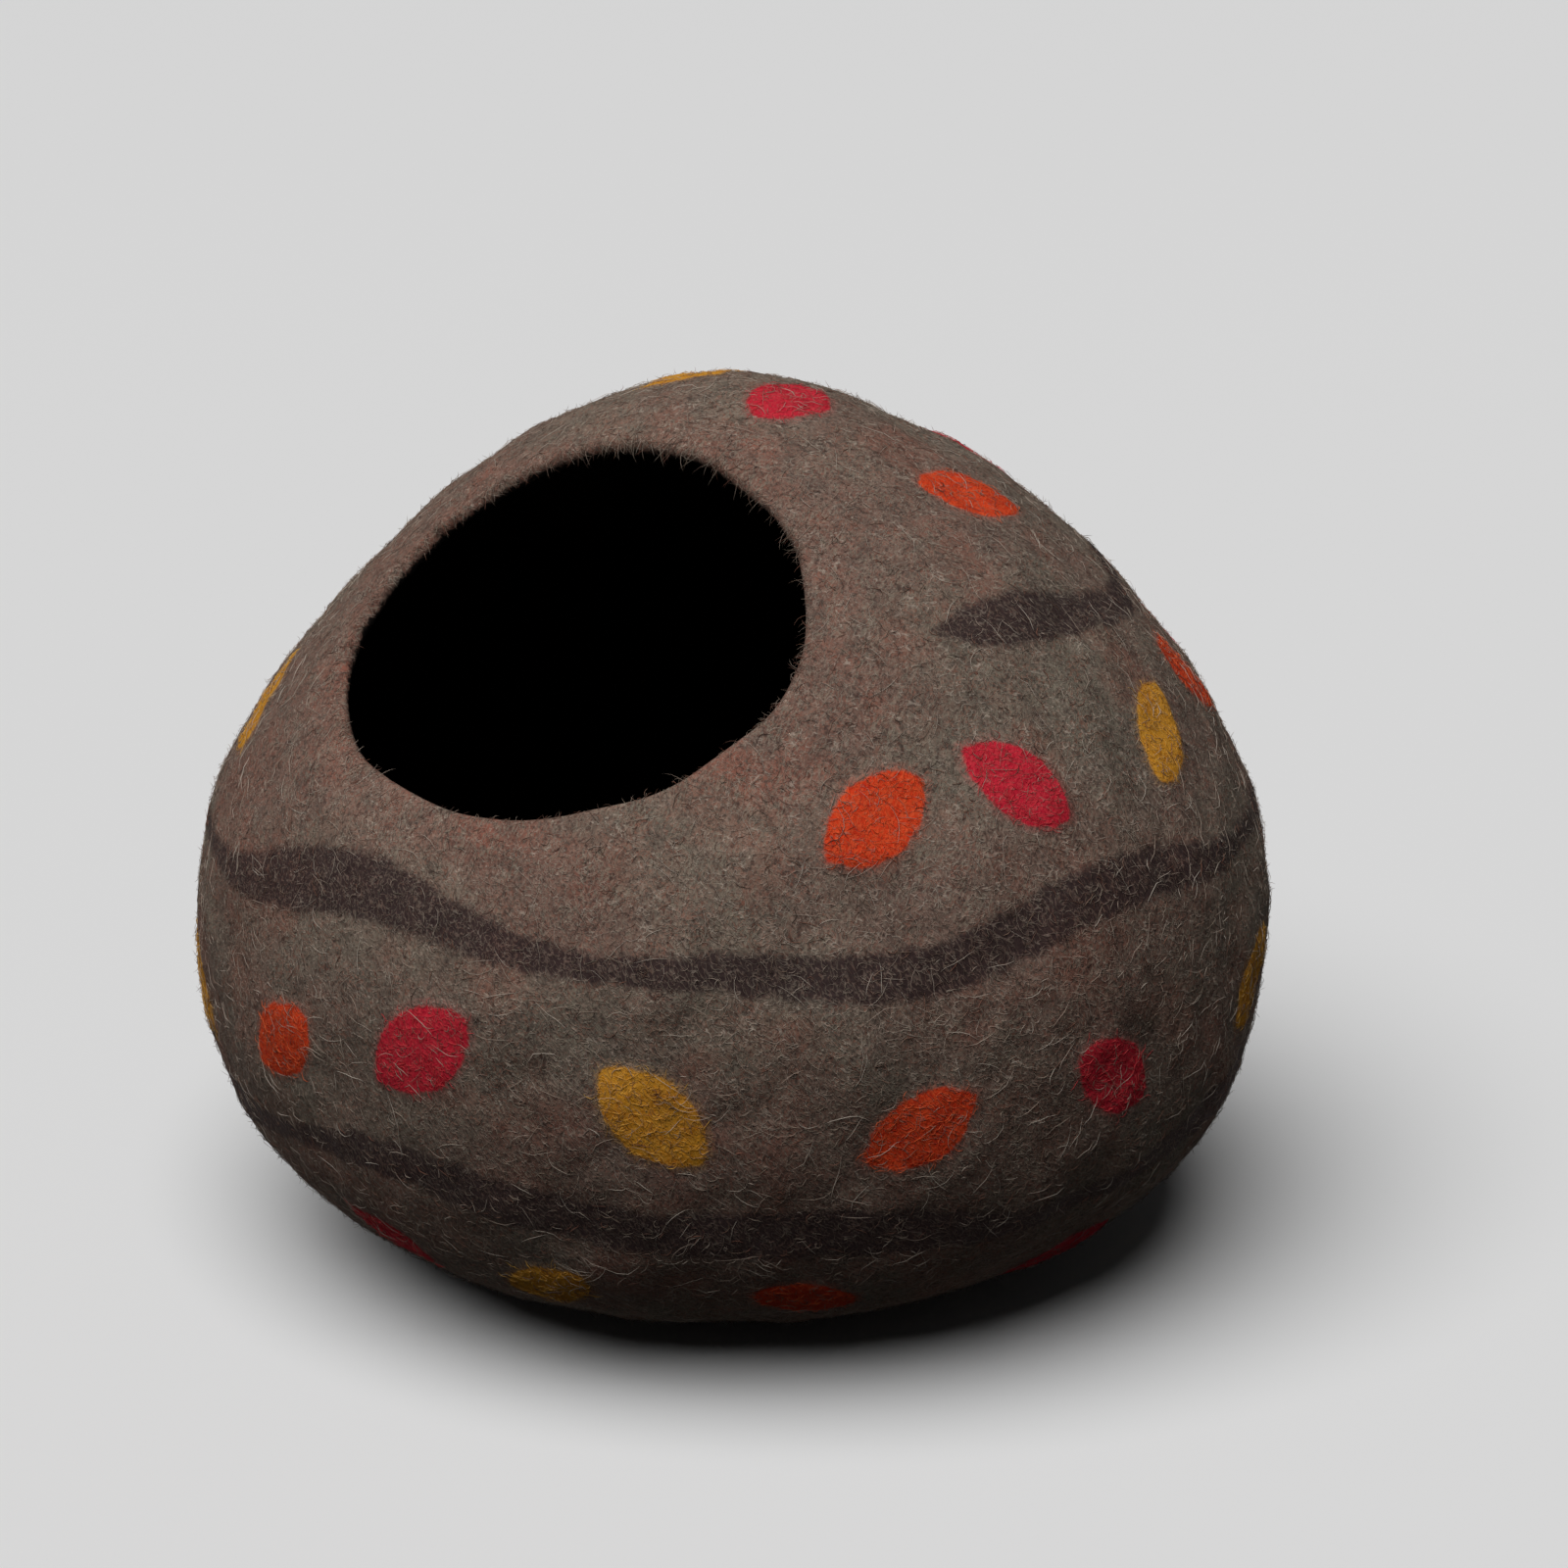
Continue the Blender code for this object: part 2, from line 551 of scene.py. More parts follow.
class Bench:
    """A material on the bench: its node tree, and the one way in which nodes are put on it."""

    def __init__(self, name: str) -> None:
        """Starts a material with its shader and nothing linked to it."""
        self.material = bpy.data.materials.new(name)
        self.material.use_nodes = True
        self.tree = self.material.node_tree
        self.shader = self.tree.nodes["Principled BSDF"]

    def node(self, kind: str, settings: dict[str, object], sockets: dict[int | str, object]) -> bpy.types.Node:
        """Adds a node.

        Args:
            kind: the node's type.
            settings: its properties; "stops" holds a ramp's places and colours.
            sockets: a number, colour, value or link for each input that isn't left as it is.

        Returns:
            The node.
        """
        made = self.tree.nodes.new(kind)
        for name, setting in settings.items():
            if name == "stops":
                self.set_stops(made.color_ramp, setting)
            else:
                setattr(made, name, setting)
        for key, given in sockets.items():
            self.feed(made.inputs[key], given)
        return made

    def set_stops(self, ramp: bpy.types.ColorRamp, stops: list[tuple[float, Colour]]) -> None:
        """Gives a ramp its stops, each a place and a colour."""
        while len(ramp.elements) < len(stops):
            ramp.elements.new(1.0)
        for element, (place, colour) in zip(ramp.elements, stops):
            element.position = place
            element.color = (*colour, 1.0)

    def feed(self, socket: bpy.types.NodeSocket, given: object) -> None:
        """Links a socket to a value or output, or sets what it holds."""
        if isinstance(given, Value):
            self.tree.links.new(given.socket, socket)
        elif isinstance(given, bpy.types.NodeSocket):
            self.tree.links.new(given, socket)
        elif isinstance(given, tuple) and socket.type == "RGBA":
            socket.default_value = (*given, 1.0)
        else:
            socket.default_value = given

    def coordinates(self) -> bpy.types.NodeSocket:
        """Places on the piece, in metres."""
        return self.node("ShaderNodeTexCoord", {}, {}).outputs["Object"]

    def field(self, name: str) -> Value:
        """A number stored at the mesh's vertices."""
        settings = {"attribute_type": "GEOMETRY", "attribute_name": name}
        return Value(self, self.node("ShaderNodeAttribute", settings, {}).outputs["Fac"])

    def noise_node(self, place: bpy.types.NodeSocket, scale: float, detail: float) -> bpy.types.Node:
        """A noise texture over places, with so many features a metre."""
        sockets = {"Vector": place, "Scale": scale, "Detail": detail, "Roughness": 0.55}
        return self.node("ShaderNodeTexNoise", {}, sockets)

    def noise(self, place: bpy.types.NodeSocket, scale: float, detail: float = 2.0) -> Value:
        """Noise about 0.5 over places, with so many features a metre."""
        return Value(self, self.noise_node(place, scale, detail).outputs["Fac"])

    def moved(self, place: bpy.types.NodeSocket, offset: Colour) -> bpy.types.NodeSocket:
        """Places shifted by an offset in metres."""
        node = self.node("ShaderNodeVectorMath", {"operation": "ADD"}, {0: place, 1: offset})
        return node.outputs[0]

    def curled(self, place: bpy.types.NodeSocket, scale: float, sway: float) -> bpy.types.NodeSocket:
        """Places swayed by noise, so that what is drawn over them curls.

        Args:
            place: the places.
            scale: how many curls lie in a metre.
            sway: how far a place moves, in metres.

        Returns:
            The swayed places.
        """
        ways = self.noise_node(place, scale, 1.0).outputs["Color"]
        level = {0: ways, 1: (0.5, 0.5, 0.5)}
        centred = self.node("ShaderNodeVectorMath", {"operation": "SUBTRACT"}, level).outputs[0]
        scaled = self.node("ShaderNodeVectorMath", {"operation": "SCALE"}, {0: centred, "Scale": 2 * sway})
        sockets = {0: place, 1: scaled.outputs[0]}
        return self.node("ShaderNodeVectorMath", {"operation": "ADD"}, sockets).outputs[0]

    def mixed(self, first: object, second: object, share: Value | float) -> bpy.types.NodeSocket:
        """A colour between two others.

        Args:
            first: the colour at share 0.
            second: the colour at share 1.
            share: how much of the second there is.

        Returns:
            The mixed colour.
        """
        sockets = {0: share, 6: first, 7: second}
        return self.node("ShaderNodeMix", {"data_type": "RGBA"}, sockets).outputs[2]

    def shaded(self, colour: object, strength: Value) -> bpy.types.NodeSocket:
        """A colour made lighter or darker by a value about 1."""
        sockets = {0: colour, "Scale": strength}
        return self.node("ShaderNodeVectorMath", {"operation": "SCALE"}, sockets).outputs[0]

    def height(self, place: bpy.types.NodeSocket) -> Value:
        """How high places lie above the floor, in metres."""
        return Value(self, self.node("ShaderNodeSeparateXYZ", {}, {0: place}).outputs["Z"])


# ---------------------------------------------------------------- finishes


@dataclass(frozen=True)
class FibreLayer:
    """Fibres drawn in the felt, all of one wool and mostly lying one way.

    fineness is how many lie side by side in a metre and stretch how much longer than wide their
    curls are; lean turns them, as Euler angles in radians.
    """

    fineness: float
    stretch: float
    width: float
    colour: Colour
    strength: float
    lean: Colour


@dataclass(frozen=True)
class DyedWool:
    """A dyed wool's colours: its body, its deeper clumps and the pale tips of its fibres."""

    body: Colour
    deep: Colour
    tips: Colour


DYED_WOOLS = {
    Dye.CRIMSON: DyedWool(body=(0.62, 0.018, 0.042), deep=(0.36, 0.008, 0.020), tips=(0.80, 0.075, 0.085)),
    Dye.ORANGE: DyedWool(body=(0.74, 0.055, 0.014), deep=(0.52, 0.022, 0.008), tips=(0.88, 0.16, 0.05)),
    Dye.MUSTARD: DyedWool(body=(0.70, 0.30, 0.022), deep=(0.52, 0.17, 0.012), tips=(0.85, 0.47, 0.09)),
}


UMBER_WOOL: Colour = (0.045, 0.029, 0.025)
RUSSET_WOOL: Colour = (0.300, 0.115, 0.075)
TAN_WOOL: Colour = (0.370, 0.270, 0.215)
OLIVE_WOOL: Colour = (0.310, 0.270, 0.205)
CREAM_WOOL: Colour = (0.560, 0.470, 0.385)


@dataclass(frozen=True)
class FeltFinish:
    """The heathered brown felt with its dyed motifs and its dark inner side, whose near-black is partly
    painted shade.
    """

    mid_brown: Colour = (0.190, 0.122, 0.096)
    olive_grey: Colour = (0.185, 0.158, 0.122)
    russet: Colour = (0.290, 0.112, 0.078)
    umber: Colour = (0.075, 0.048, 0.040)
    plum: Colour = (0.040, 0.024, 0.024)
    # inner wool: dark wool, made near-black as painted shade of the cave's inside
    inside: Colour = (0.014, 0.011, 0.010)
    # painted shade: how dark the felt is painted at the floor, rising to its full colour at 0.17 m
    painted_shade_at_floor: float = 0.80
    roughness: float = 0.95
    bump_depth: float = 0.0009
    layers: tuple[FibreLayer, ...] = (
        FibreLayer(
            fineness=520, stretch=3.5, width=0.09, colour=UMBER_WOOL, strength=0.60, lean=(0.4, 0.9, 0.2)
        ),
        FibreLayer(
            fineness=430, stretch=3.0, width=0.06, colour=RUSSET_WOOL, strength=0.50, lean=(1.3, 0.2, 2.1)
        ),
        FibreLayer(
            fineness=560, stretch=4.0, width=0.07, colour=TAN_WOOL, strength=0.50, lean=(2.2, 1.1, 0.7)
        ),
        FibreLayer(
            fineness=620, stretch=4.5, width=0.07, colour=OLIVE_WOOL, strength=0.50, lean=(0.1, 2.4, 1.6)
        ),
        FibreLayer(
            fineness=330, stretch=4.0, width=0.030, colour=CREAM_WOOL, strength=0.50, lean=(2.8, 0.5, 1.2)
        ),
    )

    def build(self) -> bpy.types.Material:
        """The felt's material, which reads the fields that the shell's mesh holds."""
        bench = Bench("brown_felt")
        place = bench.coordinates()
        curled = bench.curled(place, 130.0, 0.0016)
        heather = bench.noise(place, 520.0, 3.0)
        lines = [self.line(bench, curled, layer) for layer in self.layers]
        colour = self.undyed(bench, place, heather)
        for layer, line in zip(self.layers, lines):
            patches = bench.noise(bench.moved(place, layer.lean), 90.0, 1.0).step(0.35, 0.62)
            colour = bench.mixed(colour, layer.colour, line * (0.35 + 0.65 * patches) * layer.strength)
        # painted shade: the felt darkened towards the bottom, standing in for the shade under the cave
        height = bench.height(place)
        painted_bottom_shade = self.painted_shade_at_floor + (1 - self.painted_shade_at_floor) * height.step(0.0, 0.17)
        colour = bench.shaded(colour, painted_bottom_shade * (0.80 + 0.40 * heather))
        colour = self.dyed(bench, place, curled, colour, lines, heather)
        # the inner side in near-black wool, partly painted shade of the cave's inside
        inner = self.inner_share(bench, curled)
        colour = bench.mixed(colour, self.inner_wool_painted_shade(bench, heather, lines), inner)
        bench.feed(bench.shader.inputs["Base Color"], colour)
        bench.feed(bench.shader.inputs["Roughness"], self.roughness - 0.10 * lines[3].most(lines[4]))
        bench.shader.inputs["Specular IOR Level"].default_value = 0.12
        self.add_bump(bench, place, heather, lines)
        return bench.material

    def line(self, bench: Bench, curled: bpy.types.NodeSocket, layer: FibreLayer) -> Value:
        """Where a layer's fibres run: 1 along their middles and 0 between them."""
        side = 1 / layer.fineness
        sockets = {"Vector": curled, "Rotation": layer.lean, "Scale": (side * layer.stretch, side, side)}
        laid = bench.node("ShaderNodeMapping", {"vector_type": "TEXTURE"}, sockets).outputs[0]
        return abs(bench.noise(laid, 1.0, 1.0) - 0.5).step(layer.width, 0.0)

    def undyed(self, bench: Bench, place: bpy.types.NodeSocket, heather: Value) -> bpy.types.NodeSocket:
        """The blend of undyed wools in large and small clouds."""
        clouds = bench.noise(bench.moved(place, (0.7, 0.2, 0.4)), 13.0)
        warm = bench.noise(bench.moved(place, (1.9, 0.6, 1.1)), 24.0)
        clumps = bench.noise(bench.moved(place, (0.2, 1.4, 2.6)), 85.0)
        colour = bench.mixed(self.mid_brown, self.olive_grey, clouds.step(0.40, 0.62))
        near_lip = bench.field("toward_lip")
        reddened = warm.step(0.48, 0.70) * 0.55 + near_lip * 0.45 * clumps.step(0.30, 0.60)
        colour = bench.mixed(colour, self.russet, reddened)
        colour = bench.mixed(colour, self.umber, clumps.step(0.52, 0.30) * 0.45)
        return bench.mixed(colour, self.umber, heather.step(0.50, 0.34) * 0.75)

    def dyed(
        self,
        bench: Bench,
        place: bpy.types.NodeSocket,
        curled: bpy.types.NodeSocket,
        colour: bpy.types.NodeSocket,
        lines: list[Value],
        heather: Value,
    ) -> bpy.types.NodeSocket:
        """Lays the dyed wools over the undyed ones.

        Args:
            bench: the material's bench.
            place: places on the wall.
            curled: places swayed as the fibres curl.
            colour: the undyed wool's colour.
            lines: where each layer's fibres run.
            heather: the felt's fine mottling.

        Returns:
            The colour with bands and leaves.
        """
        broad = (bench.noise(bench.moved(place, (0.9, 0.9, 0.1)), 95.0) - 0.5) * 0.0075
        fine = (bench.noise(bench.moved(curled, (0.4, 1.9, 0.8)), 520.0) - 0.5) * 0.0035
        ragged = broad + fine
        crossing = lines[2].most(lines[4]) * 0.45
        band = (bench.field(Dye.PLUM.value) + ragged).step(0.0030, -0.0016)
        band_wool = bench.shaded(self.plum, 0.55 + 0.95 * heather)
        colour = bench.mixed(colour, band_wool, band * (0.93 - crossing))
        mottle = bench.noise(bench.moved(place, (2.2, 0.3, 1.5)), 120.0)
        for dye, wool in DYED_WOOLS.items():
            gap = bench.field(dye.value) + ragged * 0.55
            inside = gap.step(0.0009, -0.0009)
            halo = gap.step(0.0045, 0.0) * 0.30
            clumped = mottle.step(0.55, 0.32) * 0.6 + heather.step(0.5, 0.3) * 0.35
            leaf = bench.mixed(wool.body, wool.deep, clumped)
            leaf = bench.mixed(leaf, wool.tips, lines[3].most(lines[1]) * 0.40)
            laid = inside.most(halo * lines[3].most(lines[2])) * (1 - lines[4] * 0.35)
            colour = bench.mixed(colour, leaf, laid)
        return colour

    def inner_share(self, bench: Bench, curled: bpy.types.NodeSocket) -> Value:
        """How much of the dark inner wool shows, with a ragged edge on the lip."""
        ragged = (bench.noise(curled, 300.0) - 0.5) * 0.9
        return (bench.field("inside") + ragged).step(0.42, 0.62)

    def inner_wool_painted_shade(self, bench: Bench, heather: Value, lines: list[Value]) -> bpy.types.NodeSocket:
        """The inner side's wool: dark brown wool made near-black, as painted shade of the cave's inside."""
        colour = bench.shaded(self.inside, 0.6 + 0.8 * heather)
        return bench.mixed(colour, self.umber, lines[2] * 0.25)

    def add_bump(
        self, bench: Bench, place: bpy.types.NodeSocket, heather: Value, lines: list[Value]
    ) -> None:
        """Raises the fibres a little over the felt between them."""
        pits = bench.noise(bench.moved(place, (1.1, 2.0, 0.5)), 180.0)
        relief = heather * 0.5 + pits * 0.9 + lines[2] * 0.25 + lines[4] * 0.3
        sockets = {"Height": relief, "Strength": 0.75, "Distance": self.bump_depth}
        bump = bench.node("ShaderNodeBump", {}, sockets)
        bench.feed(bench.shader.inputs["Normal"], bump.outputs["Normal"])


@dataclass(frozen=True)
class LooseWoolFinish:
    """Single undyed fibres, from dark brown to cream by the tone that each one carries."""

    name: str = "loose_wool"
    stops: tuple[tuple[float, Colour], ...] = (
        (0.00, (0.040, 0.026, 0.022)),
        (0.25, (0.130, 0.082, 0.064)),
        (0.45, (0.280, 0.120, 0.080)),
        (0.62, (0.270, 0.225, 0.170)),
        (0.82, (0.420, 0.325, 0.260)),
        (1.00, (0.680, 0.600, 0.510)),
    )

    def build(self) -> bpy.types.Material:
        """The loose fibres' material, which reads each fibre's tone."""
        bench = Bench(self.name)
        place = bench.coordinates()
        flecks = bench.noise(place, 600.0, 1.0)
        ramp = bench.node("ShaderNodeValToRGB", {"stops": list(self.stops)}, {0: bench.field("tone")})
        # painted shade: the loose fibres darkened towards the bottom, like the felt
        painted_bottom_shade = 0.62 + 0.38 * bench.height(place).step(0.0, 0.17)
        colour = bench.shaded(ramp.outputs["Color"], painted_bottom_shade * (0.8 + 0.4 * flecks))
        bench.feed(bench.shader.inputs["Base Color"], colour)
        bench.shader.inputs["Roughness"].default_value = 0.75
        bench.shader.inputs["Specular IOR Level"].default_value = 0.2
        return bench.material


@dataclass(frozen=True)
class DyedFuzzFinish:
    """Single dyed fibres: crimson, orange or mustard by the tone that each one carries."""

    def build(self) -> bpy.types.Material:
        """The dyed fibres' material, which reads each fibre's tone."""
        bench = Bench("dyed_wool")
        place = bench.coordinates()
        flecks = bench.noise(place, 500.0, 1.0)
        tone = bench.field("tone")
        crimson, orange = DYED_WOOLS[Dye.CRIMSON].tips, DYED_WOOLS[Dye.ORANGE].tips
        colour = bench.mixed(crimson, orange, tone.step(0.24, 0.26))
        colour = bench.mixed(colour, DYED_WOOLS[Dye.MUSTARD].tips, tone.step(0.74, 0.76))
        bench.feed(bench.shader.inputs["Base Color"], bench.shaded(colour, 0.65 + 0.5 * flecks))
        bench.shader.inputs["Roughness"].default_value = 0.75
        bench.shader.inputs["Specular IOR Level"].default_value = 0.2
        return bench.material


# ---------------------------------------------------------------- the vessel


@dataclass
class FeltShell:
    """The whole vessel: outer face, rounded lip and inner face as one closed mesh."""

    skin: FeltSkin
    meridians: int = 400
    outer_rings: int = 160
    inner_rings: int = 58
    lip_steps: int = 8
    ring_crowding: float = 1.3
    lip_rounding: float = 0.0036
    lip_waver: float = 0.0006
    flat_side: float = 0.74
    outer_map_share: float = 0.76
    lip_map_share: float = 0.05

    def ring_angles(self, turns: Array, count: int) -> Array:
        """The angles away from the mouth's axis of a face's rings.

        Args:
            turns: the meridians' turns about the mouth's axis.
            count: the number of rings before the pole.

        Returns:
            One row for each ring, from the lip towards the pole.
        """
        form = self.skin.form
        shares = (np.arange(count) / count)[:, None] ** self.ring_crowding
        rim = np.stack([np.cos(turns), np.sin(turns), np.zeros_like(turns)], axis=-1)
        waver = Lumps(wavelength=0.55, height=self.lip_waver, seed=17).rise(rim)
        start = form.lip_angle(turns) + (self.lip_rounding + waver) / LIP_REACH
        return start[None, :] + (math.pi - start)[None, :] * shares

    def faces(self) -> tuple[Array, Array, Array]:
        """The points of the outer face, the lip and the inner face, ring by ring."""
        form = self.skin.form
        turns = np.arange(self.meridians) * FULL_TURN / self.meridians
        outer_ways = form.directions(turns[None, :], self.ring_angles(turns, self.outer_rings))
        outer = self.skin.points(outer_ways)
        inner_ways = form.directions(turns[None, :], self.ring_angles(turns, self.inner_rings))
        inward = self.skin.normals(inner_ways) * form.wall_thickness
        inner = self.skin.points(inner_ways) - inward
        unevenness = Lumps(wavelength=0.03, height=0.0004, seed=23).rise(inner)
        inner = inner + normalised(inward) * unevenness[..., None]
        return outer, self.lip(outer, inner), inner

    def lip(self, outer: Array, inner: Array) -> Array:
        """The rings between the faces, on half an ellipse that bulges into the mouth."""
        middle = (outer[0] + inner[0]) / 2
        half = (outer[0] - inner[0]) / 2
        along = normalised(outer[0] - outer[1])
        across = normalised(half)
        outward = normalised(along - (along * across).sum(axis=-1, keepdims=True) * across)
        turns = np.arange(1, self.lip_steps) * math.pi / self.lip_steps
        rings = [
            middle + math.cos(turn) * half + math.sin(turn) * self.lip_rounding * outward for turn in turns
        ]
        return np.stack(rings)

    def grid(self, outer: Array, lip: Array, inner: Array) -> tuple[Array, Array, Array]:
        """Joins the rings, from the outer pole over the lip to the inner pole.

        Args:
            outer: the outer face's rings, from the lip on.
            lip: the lip's rings, from the outer side on.
            inner: the inner face's rings, from the lip on.

        Returns:
            The points, the triangles and the map's place of each face corner.
        """
        rings = np.concatenate([outer[::-1], lip, inner])
        columns = self.meridians
        points = rings.reshape(-1, 3)
        poles = self.poles()
        first_pole, last_pole = len(points), len(points) + 1
        column = np.arange(columns)
        after = (column + 1) % columns
        ring = np.arange(len(rings) - 1)[:, None] * columns
        a, b = ring + column, ring + after
        c, d = b + columns, a + columns
        quads = np.stack([np.stack([a, d, c], -1), np.stack([a, c, b], -1)], axis=2).reshape(-1, 3)
        cap = np.stack([np.full(columns, first_pole), column, after], -1)
        end = (len(rings) - 1) * columns
        seal = np.stack([np.full(columns, last_pole), end + after, end + column], -1)
        triangles = np.concatenate([quads, cap, seal])
        return np.concatenate([points, poles]), triangles, self.map_places(len(rings))

    def poles(self) -> Array:
        """The points opposite the mouth on the outer and the inner face."""
        way = self.skin.form.directions(np.zeros(1), np.full(1, math.pi))
        outer = self.skin.points(way)
        inner = outer - self.skin.normals(way) * self.skin.form.wall_thickness
        return np.concatenate([outer, inner])

    def corners(self, across: Array, up: Array, shape: tuple[int, int]) -> Array:
        """Where one corner of each quad in a grid of a shape lies on the map."""
        return np.stack([np.broadcast_to(across, shape), np.broadcast_to(up, shape)], -1)

    def map_places(self, rings: int) -> Array:
        """The map's place of each face corner: rows for the outer face, the lip and the inner face."""
        columns = self.meridians
        lip_start = self.outer_rings
        inner_start = lip_start + self.lip_steps - 1
        row = np.arange(rings, dtype=float)
        outer_rows = self.outer_map_share * (row + 1) / (lip_start + 1)
        lip_rows = self.outer_map_share + self.lip_map_share * (row - lip_start + 1) / self.lip_steps
        rest = 1 - self.outer_map_share - self.lip_map_share
        inner_rows = 1 - rest * (rings - row) / (rings - inner_start + 1)
        heights = np.where(row < lip_start, outer_rows, np.where(row < inner_start, lip_rows, inner_rows))
        column = np.arange(columns)
        left, right = column / columns, (column + 1) / columns
        low, high = heights[:-1, None], heights[1:, None]
        full = (rings - 1, columns)
        corner = {
            "a": self.corners(left, low, full),
            "b": self.corners(right, low, full),
            "c": self.corners(right, high, full),
            "d": self.corners(left, high, full),
        }
        first = np.stack([corner["a"], corner["d"], corner["c"]], axis=-2)
        second = np.stack([corner["a"], corner["c"], corner["b"]], axis=-2)
        quads = np.stack([first, second], axis=2).reshape(-1, 3, 2)
        middle = (left + right) / 2
        zero, one = np.zeros(columns), np.ones(columns)
        cap_rows = [np.stack([middle, zero], -1), np.stack([left, zero + heights[0]], -1)]
        cap = np.stack([*cap_rows, np.stack([right, zero + heights[0]], -1)], axis=1)
        seal_rows = [np.stack([middle, one], -1), np.stack([right, zero + heights[-1]], -1)]
        seal = np.stack([*seal_rows, np.stack([left, zero + heights[-1]], -1)], axis=1)
        return np.concatenate([quads, cap, seal])

    def add_fields(self, mesh: bpy.types.Mesh, points: Array) -> None:
        """Stores what the felt's material reads: distances to the motifs, and the side of the wall."""
        directions = normalised(points - self.skin.form.centre)
        for dye, gap in self.skin.motif.distances(points).items():
            add_field(mesh, dye.value, gap)
        rings = (len(points) - 2) // self.meridians
        row = np.repeat(np.arange(rings, dtype=float), self.meridians)
        inside = np.clip((row - self.outer_rings + 1) / self.lip_steps, 0.0, 1.0)
        add_field(mesh, "inside", np.concatenate([inside, [0.0, 1.0]]))
        beyond = np.maximum(self.skin.form.beyond_lip(directions), 0.0) * LIP_REACH
        add_field(mesh, "toward_lip", np.exp(-beyond / 0.035))

    def build(self) -> bpy.types.Object:
        """Makes the vessel and dresses it.

        Returns:
            The vessel's object.
        """
        outer, lip, inner = self.faces()
        points, triangles, places = self.grid(outer, lip, inner)
        mesh = mesh_from("felt_wall", points, triangles, places)
        self.add_fields(mesh, points)
        piece = place_piece("felt_wall", mesh, FeltFinish().build())
        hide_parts("felt_shell")
        return piece


# ---------------------------------------------------------------- loose fibres


class Lay(Enum):
    """How a fibre lies on the wall."""

    FLAT = "flat"
    STANDING = "standing"
    LIP = "lip"


